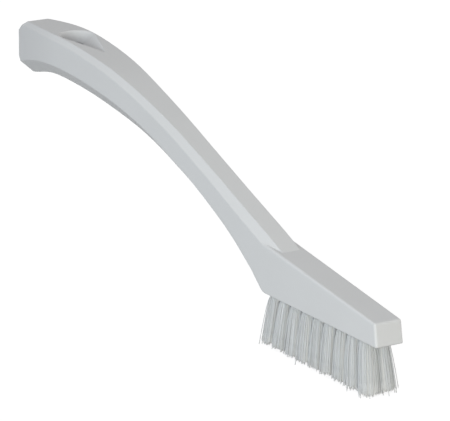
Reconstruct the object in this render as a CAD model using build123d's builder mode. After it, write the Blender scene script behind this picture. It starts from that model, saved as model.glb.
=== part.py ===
from build123d import *
import math
import os

# Moulded crevice brush: one handle with a slim head, and two rows of filament tufts, each held in a
# blind hole of the head by an anchor of flat wire.
# X runs from the butt of the handle to the front of the head, Y to its left and Z up. The bristle tips
# stand on Z = 0. Every "along" is measured back from the front edge of the head.
overall_length = 205
bristle_length = 15
cut_overrun = 3

# Head: a wedge block with a flat underside, a sloping top and a slightly leaning front.
head_length = 57.2
head_front_width = 8.85
head_rear_width = 9.7
head_front_height = 6.6
head_slope_angle = 7.9
front_setback = 1.05
draft_angle = 0.6
rear_wall_angle = 40
rear_wall_run = 8.8
rear_corner_radius = 4

# Grip: a curved bar with a flat crown, bevelled top corners and cut-away lower corners.
grip_width = 14.2
grip_rise = 49.7
neck_bevel = 1.8
butt_bevel = 1.2
bevel_fade_share = 1.2
neck_bevel_lean_share = 0.5
chamfer_lean_share = 1.2
side_allowance = 0.8

# One row for each section of the grip: along as a share of overall_length, crown height as a share of
# grip_rise, width as a share of grip_width, height where the flat side ends below as a share of
# grip_rise, and the lower cut-away as a share of the width there.
grip_shares = [
    (0.215, 0.227, 0.662, 0.030, 0.018),
    (0.244, 0.273, 0.665, 0.030, 0.018),
    (0.278, 0.330, 0.668, 0.040, 0.040),
    (0.312, 0.384, 0.662, 0.113, 0.055),
    (0.351, 0.444, 0.653, 0.217, 0.12),
    (0.410, 0.538, 0.641, 0.343, 0.21),
    (0.468, 0.628, 0.645, 0.448, 0.26),
    (0.527, 0.718, 0.670, 0.541, 0.285),
    (0.585, 0.797, 0.715, 0.627, 0.305),
    (0.644, 0.868, 0.782, 0.697, 0.32),
    (0.702, 0.926, 0.866, 0.748, 0.31),
    (0.761, 0.965, 0.940, 0.785, 0.27),
    (0.820, 0.991, 0.985, 0.805, 0.235),
    (0.878, 1.000, 0.980, 0.803, 0.210),
    (0.927, 0.996, 0.840, 0.775, 0.280),
    (0.966, 0.986, 0.675, 0.737, 0.34),
    (1.000, 0.977, 0.495, 0.697, 0.36),
]

# Butt: the rounded end of the grip, with its top and bottom corners cut at a slant. Each cut starts a
# setdown below the crown's highest point.
butt_corner_radius = 2.5
butt_top_run = 7
butt_top_drop = 4.8
butt_top_setdown = 0.7
butt_low_run = 6.5
butt_low_drop = 5.9
butt_low_setdown = 17.0

# Rounded edges of the head.
head_edge_radius = 0.7
underside_edge_radius = 0.3

# Hanging hole, measured from the butt, and the dished teardrop round it, whose tip points to the head.
hang_setback = 32
hang_radius = 2.6
dish_radius = 5.5
dish_tip_run = 17.6
dish_wall_angle = 42
dish_tilt_angle = 6
dish_setdown = 0.2

# Bristle pattern: two straight rows of tufts, fanned out towards the ends of the head.
tuft_count = 9
row_spacing = 4.3
first_tuft_along = 7.9
last_tuft_along = 53.6
end_lean_angle = 8
fan_share = 0.5
row_lean_angle = 2.5
hole_radius = 1.35
hole_depth = 4.8
root_gap = 0.03
root_recess = 0.25

# One tuft: rings of straight filaments out of a packed root.
ring_counts = [1, 6, 8, 12]
filament_radius = 0.17
filament_sides = 4
root_margin = 0.1
tip_clearance = 0.43
root_overlap = 0.8
tip_unevenness = 1.2
trim_depth = 0.5

# Anchor: a piece of flat wire driven across each hole, inside the fold of the tuft.
anchor_bite = 0.6
anchor_height = 1.8
anchor_thickness = 0.35
anchor_gap = 0.02
fold_thickness = 0.5

# Places and sizes that follow from those above.
front_x = overall_length / 2
draft_share = math.tan(math.radians(draft_angle))
neck_share = grip_shares[2][0]
butt_top_rise = grip_rise - butt_top_setdown
butt_low_rise = grip_rise - butt_low_setdown
hang_along = overall_length - hang_setback
dish_rise = grip_rise - dish_setdown
dish_wall_share = math.tan(math.radians(dish_wall_angle))
dish_depth = (dish_radius - hang_radius) / dish_wall_share
tuft_pitch = (last_tuft_along - first_tuft_along) / (tuft_count - 1)
row_lean_share = math.tan(math.radians(row_lean_angle))
tip_row_offset = row_spacing / 2 + bristle_length * row_lean_share
root_radius = hole_radius - root_gap
root_ring_radius = root_radius - root_margin - filament_radius
tip_ring_radius = min(tip_row_offset, tuft_pitch / 2) - tip_clearance - filament_radius
anchor_width = 2 * (hole_radius + anchor_bite)
anchor_depth = hole_depth - root_gap - fold_thickness - anchor_height / 2
golden_share = (math.sqrt(5) - 1) / 2


def x_at(along):
    """X of a place measured back from the front edge of the head."""
    return front_x - along


def z_at(rise):
    """Z of a height measured up from the flat underside of the head."""
    return bristle_length + rise


def mirrored(points):
    """The points, followed by their mirror images across the middle plane in reverse order."""
    return points + [(-y, z) for y, z in reversed(points)]


def grip_section(along_share, crown_share, width_share, low_share, cut_share):
    """Right half of one grip section, wider than the grip so that the plan outline trims its sides."""
    fade = min(max((along_share - neck_share) / (1 - neck_share), 0), 1)
    bevel = butt_bevel + (neck_bevel - butt_bevel) * (1 - fade) ** bevel_fade_share
    bevel_slope = 1 + neck_bevel_lean_share * (1 - fade)
    width = width_share * grip_width
    crown = z_at(crown_share * grip_rise)
    low = z_at(low_share * grip_rise)
    flat = width / 2 - bevel
    foot = width / 2 - cut_share * width
    drop = cut_share * width * chamfer_lean_share
    half = width / 2 + side_allowance
    crown_edge = crown - (half - flat) * bevel_slope
    low_edge = low - drop + (half - foot) * chamfer_lean_share
    return [(flat, crown), (half, crown_edge), (half, low_edge), (foot, low - drop)]


def plan_half_width(row, level):
    """Half the grip's width at a row and a height, with the draft of the mould."""
    along_share, crown_share, width_share = row[:3]
    return width_share * grip_width / 2 + draft_share * (z_at(crown_share * grip_rise) - level)


def tuft_frame(index, side):
    """Plane at the mouth of a hole. Its Z runs down the tuft, and its X towards the front of the head."""
    fan = 1 - 2 * index / (tuft_count - 1)
    front_lean_share = math.tan(math.radians(end_lean_angle * fan * abs(fan) ** fan_share))
    mouth = (x_at(first_tuft_along + index * tuft_pitch), side * row_spacing / 2, bristle_length)
    down = (front_lean_share, side * row_lean_share, -1)
    return Plane(origin=mouth, x_dir=(1, 0, front_lean_share), z_dir=down)


def filament(frame, ring_share, turn, number):
    """One straight filament from the packed root to its tip, cut level at both ends."""
    down = frame.z_dir / -frame.z_dir.Z
    outward = Vector(math.cos(turn), math.sin(turn), 0)
    tip_z = max(tip_unevenness * (number * golden_share % 1) - trim_depth, 0)
    root = frame.origin - down * root_overlap + outward * ring_share * root_ring_radius
    floor = frame.origin + down * bristle_length + outward * ring_share * tip_ring_radius
    run = (floor - root) * ((root.Z - tip_z) / root.Z)
    with BuildPart() as strand:
        with BuildSketch(Plane(origin=root, x_dir=outward, z_dir=(0, 0, -1))):
            RegularPolygon(filament_radius, filament_sides)
        extrude(amount=run.length, dir=run)
    return strand.part


def tuft_filaments(frame, first_number):
    """All the filaments of one tuft, ring by ring."""
    strands = []
    for ring, count in enumerate(ring_counts):
        for place in range(count):
            turn = 2 * math.pi * (place + ring / 2) / count
            number = first_number + len(strands)
            strands.append(filament(frame, ring / (len(ring_counts) - 1), turn, number))
    return strands


# The plan outline of the whole moulding, at a low and a high level: it gives all the side faces.
with BuildPart() as plan_body:
    for level in (z_at(-cut_overrun), z_at(grip_rise + cut_overrun)):
        draft_shift = draft_share * (level - bristle_length)
        front_half = head_front_width / 2 - draft_shift
        rear_half = head_rear_width / 2 - draft_shift
        splay = (rear_half - front_half) / head_length
        nose = (x_at(-cut_overrun), front_half - splay * cut_overrun)
        shoulder = (x_at(head_length), rear_half)
        rows = [row for row in grip_shares if row[0] * overall_length > head_length + rear_corner_radius]
        side_points = [(x_at(row[0] * overall_length), plan_half_width(row, level)) for row in rows]
        with BuildSketch(Plane.XY.offset(level)):
            with BuildLine():
                Line(nose, shoulder)
                Spline([shoulder] + side_points)
                mirror(about=Plane.XZ)
                Line(nose, (nose[0], -nose[1]))
                Line(side_points[-1], (side_points[-1][0], -side_points[-1][1]))
            make_face()
            fillet(vertices().group_by(Axis.X)[0], radius=butt_corner_radius)
    loft(ruled=True)

tuft_rows = {"right": -1, "left": 1}
tuft_frames = {
    f"{row_name}_{index + 1}": tuft_frame(index, side)
    for row_name, side in tuft_rows.items()
    for index in range(tuft_count)
}

with BuildPart() as handle:
    # Head block, trimmed to the plan outline; its rear wall climbs into the underside of the grip.
    top_rear_along = head_length + rear_wall_run
    wall_rise = rear_wall_run * math.tan(math.radians(rear_wall_angle))
    top_rise = (top_rear_along - front_setback) * math.tan(math.radians(head_slope_angle))
    with BuildSketch(Plane.XZ):
        with BuildLine():
            Polyline(
                (x_at(0), z_at(0)),
                (x_at(front_setback), z_at(head_front_height)),
                (x_at(top_rear_along), z_at(head_front_height + top_rise)),
                (x_at(top_rear_along), z_at(wall_rise)),
                (x_at(head_length), z_at(0)),
                close=True,
            )
        make_face()
        fillet(vertices().sort_by_distance((x_at(head_length), z_at(0), 0))[0], radius=rear_corner_radius)
    extrude(amount=head_rear_width, both=True)
    add(plan_body.part, mode=Mode.INTERSECT)

    # Rounded top and front edges of the head while it is still a plain block, then the underside's.
    front_face = handle.faces().sort_by(Axis.X)[-1]
    top_face = handle.faces().sort_by_distance((x_at(head_length / 2), 0, z_at(grip_rise)))[0]
    upper_edges = top_face.edges().sort_by(Axis.X)[1:] + front_face.edges().sort_by(Axis.Z)[1:-1]
    fillet(upper_edges, radius=head_edge_radius)
    underside = handle.faces().sort_by(Axis.Z)[0]
    fillet(underside.edges().sort_by(Axis.X)[1:], radius=underside_edge_radius)

    # Grip, lofted through its sections, run out past the butt and trimmed to the plan outline.
    for row in grip_shares:
        with BuildSketch(Plane.YZ.offset(x_at(row[0] * overall_length))):
            with BuildLine():
                Polyline(mirrored(grip_section(*row)), close=True)
            make_face()
    loft()
    extrude(handle.faces().sort_by(Axis.X)[0], amount=cut_overrun)
    add(plan_body.part, mode=Mode.INTERSECT)

    # Slanted corners of the butt.
    with BuildSketch(Plane.XZ):
        for run, drop, rise in (
            (butt_top_run, -butt_top_drop, butt_top_rise),
            (butt_low_run, butt_low_drop, butt_low_rise),
        ):
            slope = drop / run
            with BuildLine():
                Polyline(
                    (x_at(overall_length - run - cut_overrun), z_at(rise - slope * cut_overrun)),
                    (x_at(overall_length + cut_overrun), z_at(rise + drop + slope * cut_overrun)),
                    (x_at(overall_length + cut_overrun), z_at(rise - slope * cut_overrun)),
                    close=True,
                )
            make_face()
    extrude(amount=grip_width, both=True, mode=Mode.SUBTRACT)

    # Dished teardrop, whose walls slope in to the hanging hole.
    dish_plane = Plane(origin=(x_at(hang_along), 0, z_at(dish_rise))).rotated((0, dish_tilt_angle, 0))
    tangent_turn = math.degrees(math.acos(dish_radius / dish_tip_run))
    for level in (cut_overrun, -dish_depth):
        rim_radius = dish_radius + level * dish_wall_share
        with BuildSketch(dish_plane.offset(level)):
            with BuildLine():
                rim = CenterArc((0, 0), rim_radius, tangent_turn, 360 - 2 * tangent_turn)
                Polyline(rim @ 1, (rim_radius * dish_tip_run / dish_radius, 0), rim @ 0)
            make_face()
    loft(ruled=True, mode=Mode.SUBTRACT)
    with BuildSketch(dish_plane):
        Circle(hang_radius)
    extrude(amount=-grip_rise, mode=Mode.SUBTRACT)

    # Blind holes for the tufts, and the pockets that the anchors cut into their walls.
    with BuildSketch(*[frame.offset(-hole_depth) for frame in tuft_frames.values()]):
        Circle(hole_radius)
    extrude(amount=hole_depth + cut_overrun, mode=Mode.SUBTRACT)
    with BuildSketch(*[frame.offset(-anchor_depth) for frame in tuft_frames.values()]):
        Rectangle(anchor_width + 2 * anchor_gap, anchor_thickness + 2 * anchor_gap)
    extrude(amount=anchor_height / 2 + anchor_gap, both=True, mode=Mode.SUBTRACT)

handle.part.label = "handle"
os.makedirs("parts", exist_ok=True)
export_step(handle.part, "parts/handle.step")

# Each tuft is a packed root with its filaments, and an anchor lies in the slot through the root.
for order, (place_name, frame) in enumerate(tuft_frames.items()):
    strands = tuft_filaments(frame, order * sum(ring_counts))

    with BuildPart() as tuft:
        with BuildSketch(frame.offset(root_gap - hole_depth)):
            Circle(root_radius)
        extrude(amount=hole_depth - root_gap - root_recess)
        with BuildSketch(frame.offset(-anchor_depth)):
            Rectangle(anchor_width, anchor_thickness + 2 * anchor_gap)
        extrude(amount=anchor_height / 2 + anchor_gap, both=True, mode=Mode.SUBTRACT)
        add(strands)
    tuft.part.label = f"tuft_{place_name}"
    export_step(tuft.part, f"parts/tuft_{place_name}.step")

    with BuildPart() as anchor:
        with BuildSketch(frame.offset(-anchor_depth)):
            Rectangle(anchor_width, anchor_thickness)
        extrude(amount=anchor_height / 2, both=True)
    anchor.part.label = f"anchor_{place_name}"
    export_step(anchor.part, f"parts/anchor_{place_name}.step")
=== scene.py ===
"""Looks of a moulded crevice brush, dressed over its packed construction model.

Everything is in metres, in the frame of that model: X runs from the butt of the handle to the front of the
head, Y to the brush's left and Z up, and the bristle tips stand on Z = 0. Sizes written here are in
millimetres and carry the factor MM.
"""

import logging
import math
import random
from dataclasses import dataclass, field
from enum import Enum

import bpy
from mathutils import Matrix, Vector

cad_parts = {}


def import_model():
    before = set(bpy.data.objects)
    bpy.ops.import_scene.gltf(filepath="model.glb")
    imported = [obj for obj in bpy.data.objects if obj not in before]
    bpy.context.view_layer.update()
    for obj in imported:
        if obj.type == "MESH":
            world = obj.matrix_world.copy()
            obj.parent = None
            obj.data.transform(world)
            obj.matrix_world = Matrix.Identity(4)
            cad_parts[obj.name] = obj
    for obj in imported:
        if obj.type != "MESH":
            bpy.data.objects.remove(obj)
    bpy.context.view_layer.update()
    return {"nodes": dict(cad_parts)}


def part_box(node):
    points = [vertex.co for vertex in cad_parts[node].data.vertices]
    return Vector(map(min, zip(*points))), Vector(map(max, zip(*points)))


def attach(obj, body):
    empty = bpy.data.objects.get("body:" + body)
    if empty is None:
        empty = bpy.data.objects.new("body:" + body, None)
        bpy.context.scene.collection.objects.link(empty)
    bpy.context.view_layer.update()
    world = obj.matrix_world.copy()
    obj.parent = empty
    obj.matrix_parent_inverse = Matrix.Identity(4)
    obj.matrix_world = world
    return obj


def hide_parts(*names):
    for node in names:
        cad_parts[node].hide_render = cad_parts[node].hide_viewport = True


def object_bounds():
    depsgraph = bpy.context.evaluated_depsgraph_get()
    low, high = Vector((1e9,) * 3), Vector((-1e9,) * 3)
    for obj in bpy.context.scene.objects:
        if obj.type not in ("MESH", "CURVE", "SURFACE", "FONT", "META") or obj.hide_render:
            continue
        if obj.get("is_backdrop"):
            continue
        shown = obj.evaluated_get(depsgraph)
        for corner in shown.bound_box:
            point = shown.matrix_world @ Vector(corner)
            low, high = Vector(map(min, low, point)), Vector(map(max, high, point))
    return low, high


MM = 0.001
GOLDEN_TURN = math.pi * (3 - math.sqrt(5))
TUFTS_PER_ROW = 9
log = logging.getLogger("crevice_brush")


class Row(Enum):
    """The two rows of tufts, by the side of the head that each is on."""

    RIGHT = -1
    LEFT = 1

    @property
    def label(self) -> str:
        """The word for this row in the names of nodes and pieces."""
        return self.name.lower()


def linear(hex_colour: str) -> tuple[float, float, float, float]:
    """Turn an sRGB hex colour into linear light.

    Args:
        hex_colour: a colour such as "#CFD0D0".

    Returns:
        Red, green, blue and an alpha of 1, as a shader socket takes them.
    """
    shares = [int(hex_colour[i : i + 2], 16) / 255 for i in (1, 3, 5)]
    light = [s / 12.92 if s <= 0.04045 else ((s + 0.055) / 1.055) ** 2.4 for s in shares]
    return (light[0], light[1], light[2], 1.0)


def add_node(
    tree: bpy.types.NodeTree,
    kind: str,
    inputs: dict[str | int, object] | None = None,
    **settings: object,
) -> bpy.types.Node:
    """Add a node with its settings, its input values and its links.

    Args:
        tree: the node tree that takes the node.
        kind: the node's Blender type, such as "ShaderNodeBump".
        inputs: a value or another node's output socket for each input, by name or index.
        settings: the node's own properties.

    Returns:
        The new node.
    """
    node = tree.nodes.new(kind)
    for name, value in settings.items():
        setattr(node, name, value)
    for key, value in (inputs or {}).items():
        if isinstance(value, bpy.types.NodeSocket):
            tree.links.new(value, node.inputs[key])
        else:
            node.inputs[key].default_value = value
    return node


def new_material(name: str) -> tuple[bpy.types.Material, bpy.types.NodeTree]:
    """Make an empty node material.

    Args:
        name: the material's name.

    Returns:
        The material and its node tree, with no node in it.
    """
    material = bpy.data.materials.new(name)
    material.use_nodes = True
    material.node_tree.nodes.clear()
    return material, material.node_tree


def new_object(name: str, data: bpy.types.ID) -> bpy.types.Object:
    """Make an object and link it into the scene.

    Args:
        name: the object's name.
        data: its mesh, lamp or camera.

    Returns:
        The new object, at the origin.
    """
    made = bpy.data.objects.new(name, data)
    bpy.context.scene.collection.objects.link(made)
    return made


def seeing_ray(tree: bpy.types.NodeTree) -> bpy.types.NodeSocket:
    """Tell the rays that see a surface from those that only carry its light on.

    Args:
        tree: the node tree that asks.

    Returns:
        An output that is 1 for a ray straight from the camera, off a gloss or through a clear body, and
        0 for any other.
    """
    rays = add_node(tree, "ShaderNodeLightPath")
    seeing = rays.outputs["Is Camera Ray"]
    for kind in ("Is Glossy Ray", "Is Transmission Ray"):
        either = add_node(tree, "ShaderNodeMath", {0: seeing, 1: rays.outputs[kind]}, operation="MAXIMUM")
        seeing = either.outputs[0]
    return seeing


def level(turn: float) -> Vector:
    """Give the level direction that is turned this far from +X towards +Y."""
    return Vector((math.cos(turn), math.sin(turn), 0.0))


@dataclass(frozen=True)
class MouldedPolypropylene:
    """Near-white polypropylene, injection moulded in one shot against a fine spark-eroded cavity."""

    body_hex: str = "#D0D0D0"
    flow_hex: str = "#CBCBCB"
    roughness_low: float = 0.54
    roughness_high: float = 0.66
    ior: float = 1.49
    flow_mark_length: float = 24 * MM
    flow_mark_detail: float = 2.0
    cavity_grain: float = 0.45 * MM
    cavity_grain_detail: float = 3.0
    cavity_depth: float = 0.006 * MM
    cavity_strength: float = 0.6
    moulded_edge_radius: float = 0.45 * MM
    moulded_edge_samples: int = 6

    def material(self) -> bpy.types.Material:
        """Make the finish.

        Returns:
            A satin near-white whose tone drifts faintly along the flow of the melt.
        """
        material, tree = new_material("moulded_polypropylene")
        place = add_node(tree, "ShaderNodeTexCoord")
        # Flow marks: wide, very faint clouds, which keep the long plain sides from looking dead.
        flow = add_node(
            tree,
            "ShaderNodeTexNoise",
            {
                "Vector": place.outputs["Object"],
                "Scale": 1 / self.flow_mark_length,
                "Detail": self.flow_mark_detail,
            },
        )
        colour = add_node(
            tree,
            "ShaderNodeMix",
            {0: flow.outputs["Fac"], 6: linear(self.body_hex), 7: linear(self.flow_hex)},
            data_type="RGBA",
        )
        # Spark-eroded grain is about 0.05 mm, too fine to show, so it is drawn several times as coarse.
        grain = add_node(
            tree,
            "ShaderNodeTexNoise",
            {
                "Vector": place.outputs["Object"],
                "Scale": 1 / self.cavity_grain,
                "Detail": self.cavity_grain_detail,
            },
        )
        sheen = add_node(
            tree,
            "ShaderNodeMapRange",
            {"Value": grain.outputs["Fac"], "To Min": self.roughness_low, "To Max": self.roughness_high},
        )
        # Every moulded edge has a small radius, which catches a soft line of light.
        edges = add_node(
            tree,
            "ShaderNodeBevel",
            {"Radius": self.moulded_edge_radius},
            samples=self.moulded_edge_samples,
        )
        bump = add_node(
            tree,
            "ShaderNodeBump",
            {
                "Height": grain.outputs["Fac"],
                "Distance": self.cavity_depth,
                "Strength": self.cavity_strength,
                "Normal": edges.outputs["Normal"],
            },
        )
        shader = add_node(
            tree,
            "ShaderNodeBsdfPrincipled",
            {
                "Base Color": colour.outputs[2],
                "Roughness": sheen.outputs["Result"],
                "IOR": self.ior,
                "Normal": bump.outputs["Normal"],
            },
        )
        add_node(tree, "ShaderNodeOutputMaterial", {"Surface": shader.outputs["BSDF"]})
        return material


@dataclass(frozen=True)
class DrawnPolyesterFilament:
    """Stiff white polyester monofilament, drawn, crimp-free and cut with a blade."""

    name: str = "drawn_polyester_filament"
    pale_hex: str = "#C8CACB"
    deep_hex: str = "#C2C4C5"
    # Painted light: the colour is painted paler over this height above the tips.
    painted_tip_light_hex: str = "#FAFAFA"
    painted_tip_light_length: float = 4.2 * MM
    roughness: float = 0.6
    ior: float = 1.57
    translucency: float = 0.2
    light_reach: float = 1.0 * MM

    def material(self) -> bpy.types.Material:
        """Make the finish.

        Returns:
            A slightly see-through white, each filament of its own tone, so that a tuft shows as fine streaks,
            with painted light that makes the tips paler.
        """
        material, tree = new_material(self.name)
        # Each filament lies at its own angle to the light and takes up its own share of dust.
        each = add_node(tree, "ShaderNodeNewGeometry")
        along = add_node(
            tree,
            "ShaderNodeMix",
            {0: each.outputs["Random Per Island"], 6: linear(self.deep_hex), 7: linear(self.pale_hex)},
            data_type="RGBA",
        )
        # Painted light: the colour grows paler towards the cut ends, a painted glow for the light that runs
        # down inside the filaments and comes out there.
        place = add_node(tree, "ShaderNodeTexCoord")
        height = add_node(tree, "ShaderNodeSeparateXYZ", {0: place.outputs["Object"]})
        tip = add_node(
            tree,
            "ShaderNodeMapRange",
            {"Value": height.outputs["Z"], "From Max": self.painted_tip_light_length, "To Min": 1.0, "To Max": 0.0},
        )
        colour = add_node(
            tree,
            "ShaderNodeMix",
            {0: tip.outputs["Result"], 6: along.outputs[2], 7: linear(self.painted_tip_light_hex)},
            data_type="RGBA",
        )
        shader = add_node(
            tree,
            "ShaderNodeBsdfPrincipled",
            {
                "Base Color": colour.outputs[2],
                "Roughness": self.roughness,
                "IOR": self.ior,
                "Subsurface Weight": self.translucency,
                "Subsurface Radius": (1.0, 1.0, 1.0),
                "Subsurface Scale": self.light_reach,
            },
        )
        add_node(tree, "ShaderNodeOutputMaterial", {"Surface": shader.outputs["BSDF"]})
        return material


@dataclass(frozen=True)
class DrawnStainlessWire:
    """Stainless steel flat wire, drawn and cut to length."""

    bright_hex: str = "#C4C5C7"
    dull_hex: str = "#A9AAAD"
    roughness_low: float = 0.22
    roughness_high: float = 0.38
    draw_line_width: float = 0.06 * MM
    draw_line_length: float = 3 * MM

    def material(self) -> bpy.types.Material:
        """Make the finish.

        Returns:
            A bright grey metal with fine draw lines along the wire.
        """
        material, tree = new_material("drawn_stainless_wire")
        place = add_node(tree, "ShaderNodeTexCoord")
        across = 1 / self.draw_line_width
        stretch = add_node(
            tree,
            "ShaderNodeMapping",
            {"Vector": place.outputs["Object"], "Scale": (1 / self.draw_line_length, across, across)},
        )
        lines = add_node(tree, "ShaderNodeTexNoise", {"Vector": stretch.outputs["Vector"], "Scale": 1.0})
        colour = add_node(
            tree,
            "ShaderNodeMix",
            {0: lines.outputs["Fac"], 6: linear(self.dull_hex), 7: linear(self.bright_hex)},
            data_type="RGBA",
        )
        sheen = add_node(
            tree,
            "ShaderNodeMapRange",
            {"Value": lines.outputs["Fac"], "To Min": self.roughness_low, "To Max": self.roughness_high},
        )
        shader = add_node(
            tree,
            "ShaderNodeBsdfPrincipled",
            {"Base Color": colour.outputs[2], "Metallic": 1.0, "Roughness": sheen.outputs["Result"]},
        )
        add_node(tree, "ShaderNodeOutputMaterial", {"Surface": shader.outputs["BSDF"]})
        return material


@dataclass(frozen=True)
class WhitePaperSweep:
    """Matt white background paper, bright enough to the camera to melt into the white of the studio."""

    paper_hex: str = "#8E8E8E"
    camera_glow: float = 0.86

    def material(self) -> bpy.types.Material:
        """Make the finish.

        Returns:
            A matt white that keeps the brush's shadow.
        """
        material, tree = new_material("white_paper_sweep")
        matt = add_node(tree, "ShaderNodeBsdfDiffuse", {"Color": linear(self.paper_hex)})
        strength = add_node(
            tree, "ShaderNodeMath", {0: seeing_ray(tree), 1: self.camera_glow}, operation="MULTIPLY"
        )
        glow = add_node(tree, "ShaderNodeEmission", {"Strength": strength.outputs[0]})
        both = add_node(tree, "ShaderNodeAddShader", {0: matt.outputs[0], 1: glow.outputs[0]})
        add_node(tree, "ShaderNodeOutputMaterial", {"Surface": both.outputs[0]})
        return material


def dress(node: bpy.types.Object, material: bpy.types.Material) -> None:
    """Give a construction node one material all over.

    Args:
        node: the node's object.
        material: its finish.
    """
    node.data.materials.clear()
    node.data.materials.append(material)


@dataclass
class Handle:
    """The handle and head, one moulding."""

    nodes: dict[str, bpy.types.Object]
    node: str = "handle"

    def build(self) -> list[str]:
        """Dress the moulding.

        Returns:
            The names of the pieces dressed.
        """
        dress(self.nodes[self.node], MouldedPolypropylene().material())
        return [self.node]


@dataclass
class Anchors:
    """The pieces of flat wire that hold the tufts, hidden in the head."""

    nodes: dict[str, bpy.types.Object]

    def build(self) -> list[str]:
        """Dress every anchor.

        Returns:
            The names of the pieces dressed.
        """
        material = DrawnStainlessWire().material()
        names = [f"anchor_{row.label}_{n}" for row in Row for n in range(1, TUFTS_PER_ROW + 1)]
        for name in names:
            dress(self.nodes[name], material)
        return names


@dataclass
class ClosedTubes:
    """A mesh in the making, out of closed tubes."""

    verts: list[Vector] = field(default_factory=list)
    faces: list[list[int]] = field(default_factory=list)

    def add(self, rings: list[list[Vector]]) -> None:
        """Add one tube, closed at both ends.

        Args:
            rings: its rings of corners from top to bottom, each with as many corners.
        """
        sides = len(rings[0])
        first = len(self.verts)
        last = first + (len(rings) - 1) * sides
        for ring in rings:
            self.verts.extend(ring)
        for start in range(first, last, sides):
            for side in range(sides):
                a, b = start + side, start + (side + 1) % sides
                self.faces.append([a, a + sides, b + sides, b])
        self.faces.append([first + side for side in range(sides)])
        self.faces.append([last + side for side in reversed(range(sides))])


@dataclass
class Tuft:
    """Where one tuft stands, which way it points and how it is trimmed."""

    place: int
    mouth: Vector
    down: Vector
    cut: float
    clumps: list[float]
    dice: random.Random

    def clump(self, turn: float) -> float:
        """Give the trim, as a share, of the clump of filaments in a direction from the tuft's middle."""
        return self.clumps[int(turn / (2 * math.pi) * len(self.clumps)) % len(self.clumps)]


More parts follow.
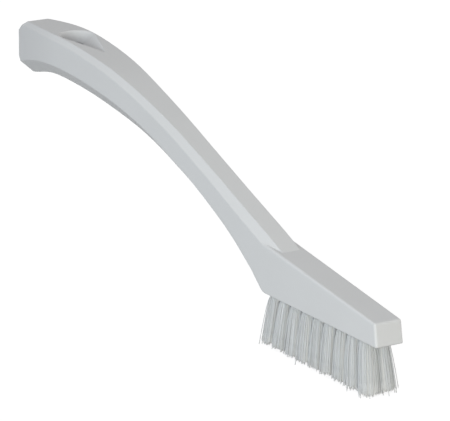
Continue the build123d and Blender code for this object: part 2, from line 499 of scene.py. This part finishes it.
@dataclass
class Bristles:
    """Two rows of staple-set tufts, fanned out towards the ends of the head."""

    row_spacing: float = 4.3 * MM
    first_tuft_along: float = 7.9 * MM
    last_tuft_along: float = 53.6 * MM
    end_lean: float = math.radians(8)
    fan_power: float = 1.5
    row_lean: float = math.radians(2.5)
    hole_radius: float = 1.35 * MM
    buried_length: float = 1.3 * MM
    filaments_per_tuft: int = 130
    filament_radius: float = 0.11 * MM
    filament_sides: int = 6
    filament_rings: int = 8
    ring_power: int = 2
    tip_radius: float = 2.95 * MM
    least_reach: float = 0.9
    most_reach: float = 1.08
    turn_scatter: float = 0.12
    flare_power: float = 0.29
    crowding_power: float = 4.0
    sway: float = 0.12 * MM
    least_cut: float = 0.05 * MM
    tuft_trim: float = 0.3 * MM
    filament_trim: float = 0.95 * MM
    clumps_per_tuft: int = 8
    clump_share: float = 0.65
    stray_share: float = 0.03
    front_stray_share: float = 0.14
    stray_reach: float = 1.9 * MM
    stray_tip: float = 0.02 * MM
    core_share: float = 0.86
    core_flutes: int = 20
    flute_depth: float = 0.07
    core_end: float = 0.45 * MM
    core_end_scatter: tuple[float, float] = (0.6, 1.4)
    first_seed: int = 7000
    seed_step: int = 100

    def plan_tuft(self, row: Row, place: int) -> Tuft:
        """Find where a tuft leaves the head and which way, and roll its trim.

        Args:
            row: the row that the tuft is in.
            place: its number in the row, counted from 0 at the front.

        Returns:
            The tuft, its direction given for each metre downwards.
        """
        low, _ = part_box("handle")
        pitch = (self.last_tuft_along - self.first_tuft_along) / (TUFTS_PER_ROW - 1)
        fan = 1 - 2 * place / (TUFTS_PER_ROW - 1)
        lean = math.copysign(self.end_lean * abs(fan) ** self.fan_power, fan)
        # The middle of the brush's length is at X = 0, so the front of the head is at -low.x.
        along = -low.x - self.first_tuft_along - place * pitch
        mouth = Vector((along, row.value * self.row_spacing / 2, low.z))
        down = Vector((math.tan(lean), row.value * math.tan(self.row_lean), -1.0))
        dice = random.Random(self.first_seed + (row.value + 1) * self.seed_step + place)
        cut = self.least_cut + self.tuft_trim * dice.random()
        clumps = [dice.random() for _ in range(self.clumps_per_tuft)]
        return Tuft(place, mouth, down, cut, clumps, dice)

    def crowding(self, tuft: Tuft, turn: float) -> float:
        """Tell how far the neighbours press a tuft's tips out into the corners between them.

        Args:
            tuft: the tuft.
            turn: the direction from the tuft's middle, counted from the front of the head.

        Returns:
            The tips' reach in that direction, as a share of a lone tuft's.
        """
        open_end = {0: 1, TUFTS_PER_ROW - 1: -1}.get(tuft.place, 0)
        if math.cos(turn) * open_end > 0 and math.sin(turn) * tuft.down.y > 0:
            return 1.0
        power = self.crowding_power
        return (abs(math.cos(turn)) ** power + abs(math.sin(turn)) ** power) ** (-1 / power)

    def stations(self, length: float) -> list[tuple[float, float]]:
        """Lay out the rings of a filament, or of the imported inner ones.

        Args:
            length: its length, from inside the hole to its tip.

        Returns:
            For each ring, how far down it lies and how far the tuft has opened there, both as shares.
        """
        buried = self.buried_length / length
        # The first ring is inside the hole. The others lie closer together near its mouth, where the tuft
        # opens most.
        last = self.filament_rings - 2
        free = [(ring / last) ** self.ring_power for ring in range(last + 1)]
        return [(0.0, 0.0)] + [(buried + (1 - buried) * share, share**self.flare_power) for share in free]

    def filament(self, tuft: Tuft, number: int) -> list[list[Vector]]:
        """Lay out one filament.

        Args:
            tuft: the tuft that it belongs to.
            number: its number in the tuft.

        Returns:
            Its rings of corners, from inside the hole to its tip.
        """
        dice = tuft.dice
        share = math.sqrt((number + 0.5) / self.filaments_per_tuft)
        scatter = dice.uniform(-self.turn_scatter, self.turn_scatter)
        turn = (number * GOLDEN_TURN + scatter) % (2 * math.pi)
        outward = level(turn)
        root_run = (self.hole_radius - self.filament_radius) * share
        reach = dice.uniform(self.least_reach, self.most_reach)
        tip_run = self.tip_radius * self.crowding(tuft, turn) * share * reach
        trim = self.clump_share * tuft.clump(turn) + (1 - self.clump_share) * dice.random()
        tip_z = tuft.cut + self.filament_trim * trim
        if dice.random() < (self.front_stray_share if tuft.place == 0 else self.stray_share):
            tip_run += self.stray_reach * dice.random()
            tip_z = self.stray_tip
        bend = Vector((dice.uniform(-1, 1), dice.uniform(-1, 1), 0.0)) * self.sway
        root = tuft.mouth - tuft.down * self.buried_length + outward * root_run
        length = root.z - tip_z
        turns = [2 * math.pi * side / self.filament_sides for side in range(self.filament_sides)]
        corners = [level(side_turn) * self.filament_radius for side_turn in turns]
        rings = []
        for fallen, opened in self.stations(length):
            sway = bend * math.sin(math.pi * opened)
            middle = root + tuft.down * length * fallen + outward * (tip_run - root_run) * opened + sway
            rings.append([middle + corner for corner in corners])
        return rings

    def core(self, tuft: Tuft) -> list[list[Vector]]:
        """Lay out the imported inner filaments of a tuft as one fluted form.

        Args:
            tuft: the tuft that they belong to.

        Returns:
            Its rings of corners, from inside the hole to its ragged end.
        """
        root = tuft.mouth - tuft.down * self.buried_length
        corners = 2 * self.core_flutes
        columns = []
        for corner in range(corners):
            turn = 2 * math.pi * corner / corners
            end = tuft.cut + self.filament_trim * self.clump_share * tuft.clump(turn)
            length = root.z - end - self.core_end * tuft.dice.uniform(*self.core_end_scatter)
            outward = level(turn) * self.core_share
            outward *= 1 - self.flute_depth * (corner % 2)
            spread = self.tip_radius * self.crowding(tuft, turn) - self.hole_radius
            column = [
                root + tuft.down * length * fallen + outward * (self.hole_radius + spread * opened)
                for fallen, opened in self.stations(length)
            ]
            columns.append(column)
        return [list(ring) for ring in zip(*columns)]

    def build_tuft(self, row: Row, place: int, finishes: list[bpy.types.Material]) -> str:
        """Make one tuft and put it in the place of its construction node.

        Args:
            row: the row that the tuft is in.
            place: its number in the row, counted from 0 at the front.
            finishes: the finish of the single filaments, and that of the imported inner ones.

        Returns:
            The piece's name.
        """
        tuft = self.plan_tuft(row, place)
        tubes = ClosedTubes()
        tubes.add(self.core(tuft))
        core_faces = len(tubes.faces)
        for number in range(self.filaments_per_tuft):
            tubes.add(self.filament(tuft, number))
        name = f"{row.label}_tuft_{place + 1}_filaments"
        mesh = bpy.data.meshes.new(name)
        mesh.from_pydata(tubes.verts, [], tubes.faces)
        # Only the tubes' sides have four corners, and their cut ends stay flat.
        mesh.polygons.foreach_set("use_smooth", [len(face) == 4 for face in tubes.faces])
        mesh.polygons.foreach_set("material_index", [int(n < core_faces) for n in range(len(tubes.faces))])
        for finish in finishes:
            mesh.materials.append(finish)
        piece = new_object(name, mesh)
        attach(piece, "root")
        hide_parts(f"tuft_{row.label}_{place + 1}")
        return name

    def build(self) -> list[str]:
        """Make all the tufts.

        Returns:
            The names of the pieces made.
        """
        # The inner filaments get paler colours than a single filament: painted light, standing for the light
        # they pass to each other in the shade.
        packed = DrawnPolyesterFilament(
            name="packed_polyester_filament", pale_hex="#D4D5D6", deep_hex="#D1D2D3"
        )
        finishes = [DrawnPolyesterFilament().material(), packed.material()]
        return [self.build_tuft(row, place, finishes) for row in Row for place in range(TUFTS_PER_ROW)]


@dataclass(frozen=True)
class SoftLamp:
    """A square soft lamp that looks at the middle of the brush."""

    name: str
    place: tuple[float, float, float]
    side: float
    power: float
    hex_colour: str

    def hang(self, target: Vector) -> None:
        """Hang the lamp.

        Args:
            target: the point that it looks at.
        """
        data = bpy.data.lights.new(self.name, "AREA")
        data.shape = "SQUARE"
        data.size = self.side
        data.energy = self.power
        data.color = linear(self.hex_colour)[:3]
        lamp = new_object(self.name, data)
        lamp.location = self.place
        lamp.rotation_euler = (Vector(self.place) - target).to_track_quat("Z", "Y").to_euler()
        lamp.visible_camera = False


@dataclass
class Studio:
    """White sweep, soft lamps and the camera."""

    azimuth: float = math.radians(58.9)
    elevation: float = math.radians(16.6)
    camera_distance: float = 900 * MM
    image_width: float = 450.0
    image_height: float = 421.0
    focal_pixels: float = 3374.0
    head_corner_pixel: tuple[float, float] = (390.11, 346.17)
    sensor_width: float = 36.0
    view_depth: float = 20.0
    floor_size: float = 8.0
    sky_hex: str = "#FFFFFF"
    sky: float = 0.537
    seen_sky: float = 1.0
    lamps: tuple[SoftLamp, ...] = (
        SoftLamp("side_lamp", (0.3, -1.0, 0.3), 0.6, 4.1, "#DEEEFF"),
        SoftLamp("front_lamp", (0.9, -0.55, 0.1), 0.3, 6.6, "#FFFFF6"),
        SoftLamp("left_lamp", (0.2, 1.0, 0.11), 0.2, 3.0, "#FFFFFF"),
    )

    def axes(self) -> tuple[Vector, Vector, Vector]:
        """Find the camera's own axes.

        Returns:
            Its right, its up and its back, away from what it looks at.
        """
        back = Vector(
            (
                math.sin(self.azimuth) * math.cos(self.elevation),
                -math.cos(self.azimuth) * math.cos(self.elevation),
                math.sin(self.elevation),
            )
        )
        right = level(self.azimuth)
        return right, back.cross(right), back

    def place_camera(self) -> None:
        """Put the camera where the middle of the head's lower front edge falls on its pixel."""
        low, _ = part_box("handle")
        right, up, back = self.axes()
        metres_per_pixel = self.camera_distance / self.focal_pixels
        across = (self.head_corner_pixel[0] - self.image_width / 2) * metres_per_pixel
        down = (self.head_corner_pixel[1] - self.image_height / 2) * metres_per_pixel
        head_corner = Vector((-low.x, 0.0, low.z))
        data = bpy.data.cameras.new("camera")
        data.sensor_fit = "HORIZONTAL"
        data.sensor_width = self.sensor_width
        data.lens = self.focal_pixels / self.image_width * self.sensor_width
        data.clip_end = self.view_depth
        camera = new_object("camera", data)
        camera.location = head_corner + back * self.camera_distance - right * across + up * down
        camera.rotation_euler = back.to_track_quat("Z", "Y").to_euler()
        bpy.context.scene.camera = camera

    def light(self) -> None:
        """Light the brush softly from its right side, its front and, weakly, its left, under a pale sky."""
        low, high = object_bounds()
        for lamp in self.lamps:
            lamp.hang((Vector(low) + Vector(high)) / 2)
        world = bpy.data.worlds.new("studio")
        world.use_nodes = True
        tree = world.node_tree
        tree.nodes.clear()
        strength = add_node(
            tree,
            "ShaderNodeMapRange",
            {"Value": seeing_ray(tree), "To Min": self.sky, "To Max": self.seen_sky},
        )
        sky = add_node(
            tree,
            "ShaderNodeBackground",
            {"Color": linear(self.sky_hex), "Strength": strength.outputs["Result"]},
        )
        add_node(tree, "ShaderNodeOutputWorld", {"Surface": sky.outputs["Background"]})
        bpy.context.scene.world = world

    def lay_floor(self) -> None:
        """Lay the white sweep on Z = 0."""
        half = self.floor_size / 2
        corners = [(-half, -half, 0), (half, -half, 0), (half, half, 0), (-half, half, 0)]
        mesh = bpy.data.meshes.new("floor")
        mesh.from_pydata(corners, [], [(0, 1, 2, 3)])
        mesh.materials.append(WhitePaperSweep().material())
        floor = new_object("floor", mesh)
        floor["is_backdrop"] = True

    def build(self) -> None:
        """Set up the whole studio."""
        self.place_camera()
        self.light()
        self.lay_floor()
        bpy.context.scene.view_settings.view_transform = "Standard"


def main() -> None:
    """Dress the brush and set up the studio."""
    logging.basicConfig(level=logging.INFO, format="%(name)s: %(message)s")
    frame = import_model()
    Studio().build()
    nodes = frame["nodes"]
    for assembly in (Handle(nodes), Anchors(nodes), Bristles()):
        for name in assembly.build():
            log.info("%s: %s", type(assembly).__name__, name)


if __name__ == "__main__":
    main()
